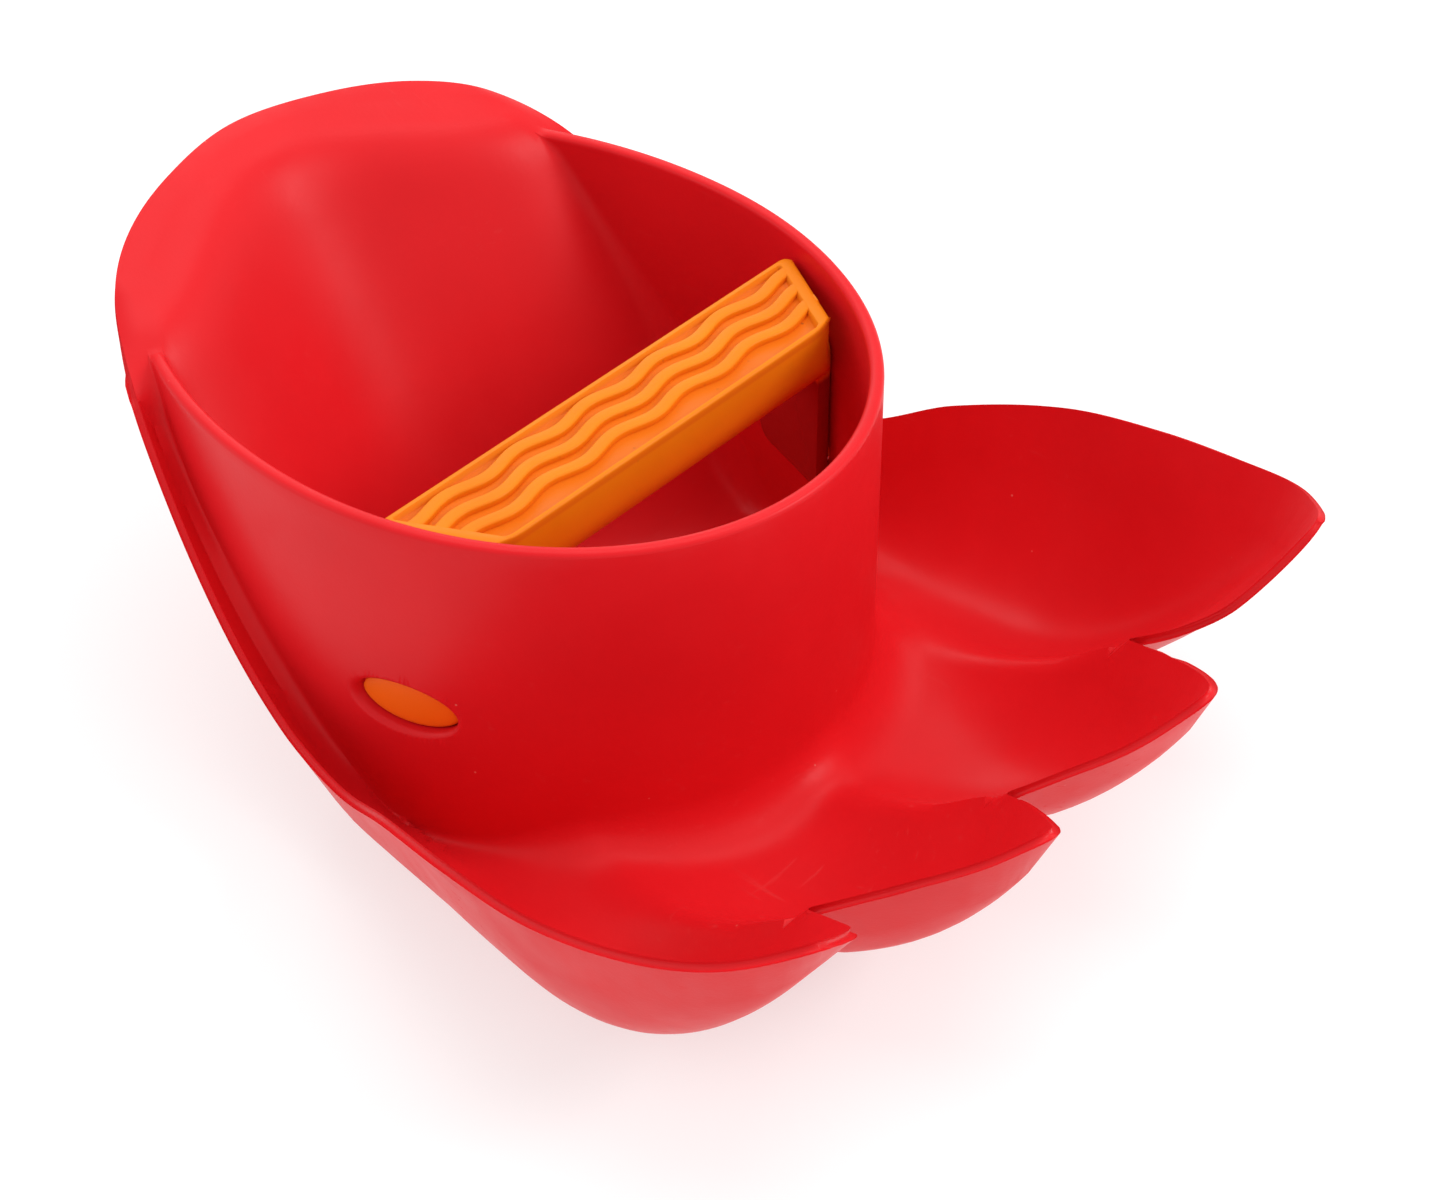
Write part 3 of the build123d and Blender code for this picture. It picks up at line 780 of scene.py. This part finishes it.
def bar_stations():
    """(distance in from the bar's end, panel depth, shrink) from the end face to the middle."""
    turns = np.linspace(0.0, math.pi / 2, RIM_STEPS)
    rows = [(END_EDGE - END_EDGE * math.cos(a), 0.0, END_EDGE - END_EDGE * math.sin(a)) for a in turns]
    return rows + [(PANEL_END + off, share * PANEL_DEPTH, 0.0) for off, share in PANEL_END_SIDE]


def bar_end(x):
    """Half length of the bar at x: it follows the cup's wall and turns in at its corners."""
    front = quarter_round(np.maximum(BAR_X[1] - x, 0.0), BAR_END_ROUND)
    back = quarter_round(np.maximum(x - BAR_X[0], 0.0), BAR_BACK_ROUND)
    return wall_y(x, CUP_WALL + END_GAP) - front - back


def build_bar(material):
    rows = []
    for inset, recess, shrink in bar_stations():
        section = bar_loop(recess, shrink)
        rows.append(np.column_stack([section[:, 0], bar_end(section[:, 0]) - inset, section[:, 1]]))
    section = bar_loop(PANEL_DEPTH, 0.0)
    for share in np.linspace(BAR_SPAN_SHARE, 0.0, BAR_SPANS):
        reach = (bar_end(section[:, 0]) - bar_stations()[-1][0]) * share
        rows.append(np.column_stack([section[:, 0], reach, section[:, 1]]))
    mirror = [row * (1, -1, 1) for row in reversed(rows[:-1])]
    rows = rows + mirror
    n = len(section)
    faces = tube_faces(len(rows), n)
    vertices = list(np.concatenate(rows))
    for k in (0, len(rows) - 1):
        ring = rows[k]
        vertices.append(ring.mean(axis=0))
        hub = len(vertices) - 1
        faces += [(k * n + i, k * n + (i + 1) % n, hub) for i in range(n)]
    parts = [(np.array(vertices), faces)]
    for side in (1, -1):
        parts.append(leg_mesh(side))
        parts.append(oval_rings(side, LUG_STEPS, LUG_COUNT))
    return join_parts("ribbed_grip_bar", parts, material)


def leg_outline():
    """A leg's rounded rectangle, x and z."""
    low, high = LEG_X
    r = LEG_CORNER
    top, bottom = LEG_TOP - r, LEG_BOTTOM + r
    corners = [(high - r, top), (low + r, top), (low + r, bottom), (high - r, bottom)]
    outline = []
    for quarter, corner in enumerate(corners):
        start = quarter * math.pi / 2
        end = (quarter + 1) * math.pi / 2
        outline += arc(corner, r, start, end, LEG_CORNER_STEPS)
    return np.array(outline)


def leg_mesh(side):
    """One end leg: a rounded plate that follows the cup's wall."""
    outline = leg_outline()
    middle = outline.mean(axis=0)
    spokes = outline - middle
    rows = []
    for depth, shrink in LEG_LAYERS:
        ring = middle + spokes * (1 - shrink / np.linalg.norm(spokes, axis=1)[:, None])
        reach = wall_y(ring[:, 0], CUP_WALL + END_GAP) - depth
        rows.append(np.column_stack([ring[:, 0], side * reach, ring[:, 1]]))
    return closed_tube(rows)


def join_parts(name, parts, material):
    vertices, faces, start = [], [], 0
    for points, polygons in parts:
        vertices.append(points)
        faces += [tuple(i + start for i in f) for f in polygons]
        start += len(points)
    thing = make_object(name, np.concatenate(vertices), faces, material)
    thing.data.set_sharp_from_angle(angle=math.radians(BAR_SHARP))
    return thing


def rib_nodes(material):
    """Node tree that lays wavy ribs side by side in the bar's panel."""
    tree = bpy.data.node_groups.new("wavy ribs", "GeometryNodeTree")
    face = tree.interface
    face.new_socket("Geometry", in_out="OUTPUT", socket_type="NodeSocketGeometry")
    sockets = {}
    inputs = {
        "Half length": 0.0, "Wave length": RIB_WAVE * MM, "Sway": RIB_SWAY * MM,
        "Rib width": RIB_WIDTH * MM, "Rib height": PANEL_DEPTH * MM, "Pitch": RIB_PITCH * MM,
        "Lag": RIB_LAG * MM, "First rib": FIRST_RIB_X * MM, "Base height": 0.0,
    }
    for name, value in inputs.items():
        item = face.new_socket(name, in_out="INPUT", socket_type="NodeSocketFloat")
        item.default_value = value
        sockets[name] = item.identifier
    whole = face.new_socket("Ribs", in_out="INPUT", socket_type="NodeSocketInt")
    whole.default_value = RIB_COUNT
    sockets["Ribs"] = whole.identifier
    new = tree.nodes.new
    link = tree.links.new
    given = new("NodeGroupInput").outputs

    def maths(kind, a, b=None):
        node = new("ShaderNodeMath")
        node.operation = kind
        for slot, value in ((0, a), (1, b)):
            if value is None:
                continue
            if isinstance(value, (int, float)):
                node.inputs[slot].default_value = value
            else:
                link(value, node.inputs[slot])
        return node.outputs[0]

    def vector(x, y, z):
        node = new("ShaderNodeCombineXYZ")
        for slot, value in enumerate((x, y, z)):
            if isinstance(value, (int, float)):
                node.inputs[slot].default_value = value
            else:
                link(value, node.inputs[slot])
        return node.outputs[0]

    line = new("GeometryNodeCurvePrimitiveLine")
    link(vector(0.0, maths("MULTIPLY", given["Half length"], -1.0), 0.0), line.inputs["Start"])
    link(vector(0.0, given["Half length"], 0.0), line.inputs["End"])
    fine = new("GeometryNodeResampleCurve")
    link(line.outputs[0], fine.inputs["Curve"])
    fine.inputs["Count"].default_value = RIB_POINTS
    place = new("GeometryNodeInputPosition")
    parts = new("ShaderNodeSeparateXYZ")
    link(place.outputs[0], parts.inputs[0])
    turn = maths("MULTIPLY", maths("DIVIDE", parts.outputs[1], given["Wave length"]), 2 * math.pi)
    shifted = new("GeometryNodeSetPosition")
    link(fine.outputs[0], shifted.inputs["Geometry"])
    link(vector(maths("MULTIPLY", maths("SINE", turn), given["Sway"]), 0.0, 0.0), shifted.inputs["Offset"])
    profile = new("GeometryNodeCurvePrimitiveQuadrilateral")
    link(given["Rib width"], profile.inputs["Width"])
    link(maths("MULTIPLY", given["Rib height"], 2.0), profile.inputs["Height"])
    soft = new("GeometryNodeFilletCurve")
    soft.mode = "POLY"
    link(profile.outputs[0], soft.inputs["Curve"])
    soft.inputs["Count"].default_value = 4
    link(maths("MULTIPLY", given["Rib width"], 0.2), soft.inputs["Radius"])
    solid = new("GeometryNodeCurveToMesh")
    link(shifted.outputs[0], solid.inputs["Curve"])
    link(soft.outputs[0], solid.inputs["Profile Curve"])
    solid.inputs["Fill Caps"].default_value = True
    row = new("GeometryNodeMeshLine")
    link(given["Ribs"], row.inputs["Count"])
    link(vector(given["First rib"], 0.0, given["Base height"]), row.inputs["Start Location"])
    link(vector(given["Pitch"], maths("MULTIPLY", given["Lag"], -1.0), 0.0), row.inputs["Offset"])
    many = new("GeometryNodeInstanceOnPoints")
    link(row.outputs[0], many.inputs["Points"])
    link(solid.outputs[0], many.inputs["Instance"])
    real = new("GeometryNodeRealizeInstances")
    link(many.outputs[0], real.inputs[0])
    smooth = new("GeometryNodeSetShadeSmooth")
    link(real.outputs[0], smooth.inputs[0])
    paint = new("GeometryNodeSetMaterial")
    paint.inputs["Material"].default_value = material
    link(smooth.outputs[0], paint.inputs[0])
    out = new("NodeGroupOutput")
    link(paint.outputs[0], out.inputs[0])
    return tree, sockets


def build_ribs(material):
    tree, sockets = rib_nodes(material)
    mesh = bpy.data.meshes.new("wavy_ribs")
    thing = bpy.data.objects.new("wavy_ribs", mesh)
    bpy.context.scene.collection.objects.link(thing)
    grow = thing.modifiers.new("ribs", "NODES")
    grow.node_group = tree
    values = {
        "Half length": (bar_end(FIRST_RIB_X) - PANEL_END + RIB_SPARE) * MM,
        "Base height": (BAR_TOP - PANEL_DEPTH - RIB_SUNK) * MM,
    }
    for name, value in values.items():
        grow[sockets[name]] = float(value)
    graph = bpy.context.evaluated_depsgraph_get()
    made = bpy.data.meshes.new_from_object(thing.evaluated_get(graph))
    thing.modifiers.clear()
    co = np.empty(len(made.vertices) * 3)
    made.vertices.foreach_get("co", co)
    co = co.reshape(-1, 3)
    limit = (bar_end(co[:, 0] / MM) - PANEL_END + RIB_END_IN) * MM
    co[:, 1] = np.clip(co[:, 1], -limit, limit)
    made.vertices.foreach_set("co", co.ravel())
    if not made.materials:
        made.materials.append(material)
    thing.data = made
    bpy.data.meshes.remove(mesh)
    made.set_sharp_from_angle(angle=math.radians(BAR_SHARP))
    return thing


# ---- Materials ---------------------------------------------------------------------------------------
class Shader:
    """Small helper around one material's node tree."""

    def __init__(self, name):
        self.material = bpy.data.materials.new(name)
        self.material.use_nodes = True
        self.nodes = self.material.node_tree.nodes
        self.links = self.material.node_tree.links
        self.surface = self.nodes["Principled BSDF"]
        self.place = self.nodes.new("ShaderNodeTexCoord").outputs["Object"]

    def wire(self, value, socket):
        if isinstance(value, bpy.types.NodeSocket):
            self.links.new(value, socket)
        else:
            socket.default_value = value

    def noise(self, scale, detail, stretch=None, turned=None):
        node = self.nodes.new("ShaderNodeTexNoise")
        node.inputs["Scale"].default_value = scale
        node.inputs["Detail"].default_value = detail
        where = self.place
        if stretch:
            turn = self.nodes.new("ShaderNodeMapping")
            turn.inputs["Scale"].default_value = stretch
            turn.inputs["Rotation"].default_value = turned
            self.links.new(where, turn.inputs[0])
            where = turn.outputs[0]
        self.links.new(where, node.inputs["Vector"])
        return node.outputs["Fac"]

    def specks(self, scale, size):
        node = self.nodes.new("ShaderNodeTexVoronoi")
        node.inputs["Scale"].default_value = scale
        self.links.new(self.place, node.inputs["Vector"])
        return self.span(node.outputs["Distance"], 0.0, size, 1.0, 0.0)

    def fade(self, value, start, end):
        """0 up to start, 1 from end on."""
        return self.span(value, start, end, 0.0, 1.0)

    def span(self, value, a, b, c, d):
        node = self.nodes.new("ShaderNodeMapRange")
        for slot, v in enumerate((value, a, b, c, d)):
            self.wire(v, node.inputs[slot])
        return node.outputs[0]

    def maths(self, kind, a, b):
        node = self.nodes.new("ShaderNodeMath")
        node.operation = kind
        self.wire(a, node.inputs[0])
        self.wire(b, node.inputs[1])
        return node.outputs[0]

    def mix(self, amount, a, b):
        node = self.nodes.new("ShaderNodeMix")
        node.data_type = "RGBA"
        self.wire(amount, node.inputs[0])
        self.wire(a, node.inputs[6])
        self.wire(b, node.inputs[7])
        return node.outputs[2]

    def bump(self, height, strength, distance):
        node = self.nodes.new("ShaderNodeBump")
        node.inputs["Strength"].default_value = strength
        node.inputs["Distance"].default_value = distance
        self.links.new(height, node.inputs["Height"])
        self.links.new(node.outputs[0], self.surface.inputs["Normal"])


def scuffs(s):
    """Fine scratches in rubbed patches: 0 on clean plastic, up to 1 in a scratch."""
    lines = s.noise(900.0, 2.0, stretch=(1.0, 0.06, 1.0), turned=(0.3, 0.2, 0.9))
    other = s.noise(800.0, 2.0, stretch=(0.07, 1.0, 1.0), turned=(0.1, 0.5, 0.35))
    fine = s.maths("MAXIMUM", s.fade(lines, 0.66, 0.74), s.fade(other, 0.67, 0.75))
    where = s.fade(s.noise(26.0, 3.0), 0.5, 0.66)
    return s.maths("MULTIPLY", fine, where)


def red_plastic():
    s = Shader("red moulded plastic")
    colour = s.mix(s.fade(s.noise(35.0, 5.0), 0.3, 0.7), RED_DEEP, RED_BRIGHT)
    rubbed = scuffs(s)
    colour = s.mix(s.maths("MULTIPLY", rubbed, SCUFF_TINT), colour, RED_RUBBED)
    dots = s.maths("MULTIPLY", s.specks(170.0, 0.045), s.fade(s.noise(50.0, 2.0), 0.55, 0.6))
    colour = s.mix(s.maths("MULTIPLY", dots, SPECK_TINT), colour, RED_SPECK)
    s.wire(colour, s.surface.inputs["Base Color"])
    rough = s.span(s.noise(120.0, 6.0), 0.3, 0.7, *RED_ROUGHNESS)
    rough = s.maths("ADD", rough, s.maths("MULTIPLY", rubbed, SCUFF_ROUGHNESS))
    s.wire(rough, s.surface.inputs["Roughness"])
    s.surface.inputs["Specular IOR Level"].default_value = RED_SHINE
    grain = s.maths("SUBTRACT", s.noise(1500.0, 3.0), s.maths("MULTIPLY", rubbed, SCUFF_DEPTH))
    s.bump(grain, GRAIN, GRAIN_DEPTH)
    return s.material


def channel_floor(s, high):
    """1 on the sunk floor between the ribs, 0 on their tops and on the rest of the bar."""
    sunk = s.fade(high, (BAR_TOP - 0.25) * MM, (BAR_TOP - 1.15) * MM)
    under = s.span(high, (BAR_TOP - 1.5) * MM, (BAR_TOP - 1.9) * MM, 1.0, 0.0)
    return s.maths("MULTIPLY", sunk, under)


def leg_painted_shade(s, x, y, high):
    """Mask of the legs' painted shade: 1 on the legs below the bar's underside; 0 above it and on the lugs,
    past the cup's inner face.
    """
    across = s.maths("DIVIDE", y, (CUP_SIDE - CUP_WALL) * MM)
    along = s.maths("DIVIDE", s.maths("SUBTRACT", x, CUP_X * MM), (CUP_FRONT - CUP_WALL) * MM)
    reach = s.maths("ADD", s.maths("MULTIPLY", across, across), s.maths("MULTIPLY", along, along))
    inside_cup = s.span(reach, 0.985, 1.0, 1.0, 0.0)
    return s.maths("MULTIPLY", inside_cup, s.fade(high, *LEG_SHADE_STARTS))


def orange_plastic():
    """Orange plastic with painted shade in the channels, a painted red reflection low on the bar, and painted
    dark red shade on the legs below the bar.
    """
    s = Shader("orange moulded plastic")
    colour = s.mix(s.fade(s.noise(60.0, 4.0), 0.3, 0.7), ORANGE_DEEP, ORANGE_BRIGHT)
    split = s.nodes.new("ShaderNodeSeparateXYZ")
    s.links.new(s.place, split.inputs[0])
    x, y, high = split.outputs
    channels = channel_floor(s, high)
    # Painted shade: the channel floors between the ribs are made darker and redder.
    colour = s.mix(s.maths("MULTIPLY", channels, 0.75), colour, ORANGE_CHANNEL_SHADE)
    # Painted red reflection of the cup: the bar turns redder towards its underside.
    below = s.fade(high, (BAR_TOP - 2.0) * MM, (BAR_TOP - BAR_DEPTH) * MM)
    colour = s.mix(s.maths("MULTIPLY", below, 0.8), colour, ORANGE_RED_BOUNCE)
    # Painted shade: the legs below the bar's underside are coloured dark red.
    colour = s.mix(leg_painted_shade(s, x, y, high), colour, LEG_SHADE)
    dirt = s.maths("MULTIPLY", s.specks(420.0, 0.16), s.fade(s.noise(90.0, 3.0), 0.5, 0.62))
    dirt = s.maths("MULTIPLY", dirt, s.span(channels, 0.0, 1.0, *DIRT_SHARE))
    colour = s.mix(dirt, colour, DIRT)
    s.wire(colour, s.surface.inputs["Base Color"])
    s.wire(s.span(s.noise(150.0, 5.0), 0.3, 0.7, *ORANGE_ROUGHNESS), s.surface.inputs["Roughness"])
    s.surface.inputs["Specular IOR Level"].default_value = ORANGE_SHINE
    s.bump(s.noise(1400.0, 3.0), GRAIN, GRAIN_DEPTH)
    return s.material


# ---- Stage ---------------------------------------------------------------------------------------------
def build_floor():
    mesh = bpy.data.meshes.new("floor")
    r = FLOOR_HALF
    mesh.from_pydata([(-r, -r, 0), (r, -r, 0), (r, r, 0), (-r, r, 0)], [], [(0, 1, 2, 3)])
    material = bpy.data.materials.new("white paper")
    material.use_nodes = True
    surface = material.node_tree.nodes["Principled BSDF"]
    surface.inputs["Base Color"].default_value = FLOOR_COLOUR
    surface.inputs["Roughness"].default_value = 0.9
    surface.inputs["Specular IOR Level"].default_value = 0.1
    surface.inputs["Emission Color"].default_value = WHITE
    surface.inputs["Emission Strength"].default_value = FLOOR_GLOW
    mesh.materials.append(material)
    floor = bpy.data.objects.new("floor", mesh)
    floor.location.z = -FLOOR_GAP
    bpy.context.scene.collection.objects.link(floor)


def soft_light(name, place, aim, size, power):
    data = bpy.data.lights.new(name, "AREA")
    data.shape = "SQUARE"
    data.size = size
    data.energy = power
    lamp = bpy.data.objects.new(name, data)
    lamp.location = place
    lamp.rotation_euler = (Vector(aim) - Vector(place)).to_track_quat("-Z", "Y").to_euler()
    bpy.context.scene.collection.objects.link(lamp)


def build_lights():
    world = bpy.data.worlds.new("studio")
    world.use_nodes = True
    background = world.node_tree.nodes["Background"]
    background.inputs["Color"].default_value = WHITE
    background.inputs["Strength"].default_value = ROOM_LIGHT
    bpy.context.scene.world = world
    for softbox in SOFTBOXES:
        soft_light(*softbox)


def build_camera():
    data = bpy.data.cameras.new("camera")
    data.sensor_width = SENSOR
    data.lens = LENS
    camera = bpy.data.objects.new("camera", data)
    right = Vector(CAMERA_RIGHT).normalized()
    forward = Vector(CAMERA_FORWARD).normalized()
    up = right.cross(forward)
    turn = Matrix((right, up, -forward)).transposed().to_4x4()
    camera.matrix_world = Matrix.Translation(CAMERA_PLACE) @ turn
    bpy.context.scene.collection.objects.link(camera)
    bpy.context.scene.camera = camera


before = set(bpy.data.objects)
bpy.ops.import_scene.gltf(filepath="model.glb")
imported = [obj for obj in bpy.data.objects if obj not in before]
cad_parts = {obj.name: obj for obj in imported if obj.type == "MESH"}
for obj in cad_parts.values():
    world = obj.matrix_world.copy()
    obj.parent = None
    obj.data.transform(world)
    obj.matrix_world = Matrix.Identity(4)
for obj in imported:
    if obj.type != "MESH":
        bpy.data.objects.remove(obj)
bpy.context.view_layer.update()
red = red_plastic()
orange = orange_plastic()
shell = build_shell(red)
cut_windows(shell)
bar = build_bar(orange)
ribs = build_ribs(orange)
for thing, slot in ((shell, "red_plastic"), (bar, "orange_plastic"), (ribs, "orange_plastic")):
    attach(thing, "root")
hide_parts("scoop_shell")
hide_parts("grip_bar")
build_floor()
build_lights()
build_camera()
bpy.context.scene.view_settings.view_transform = "Standard"
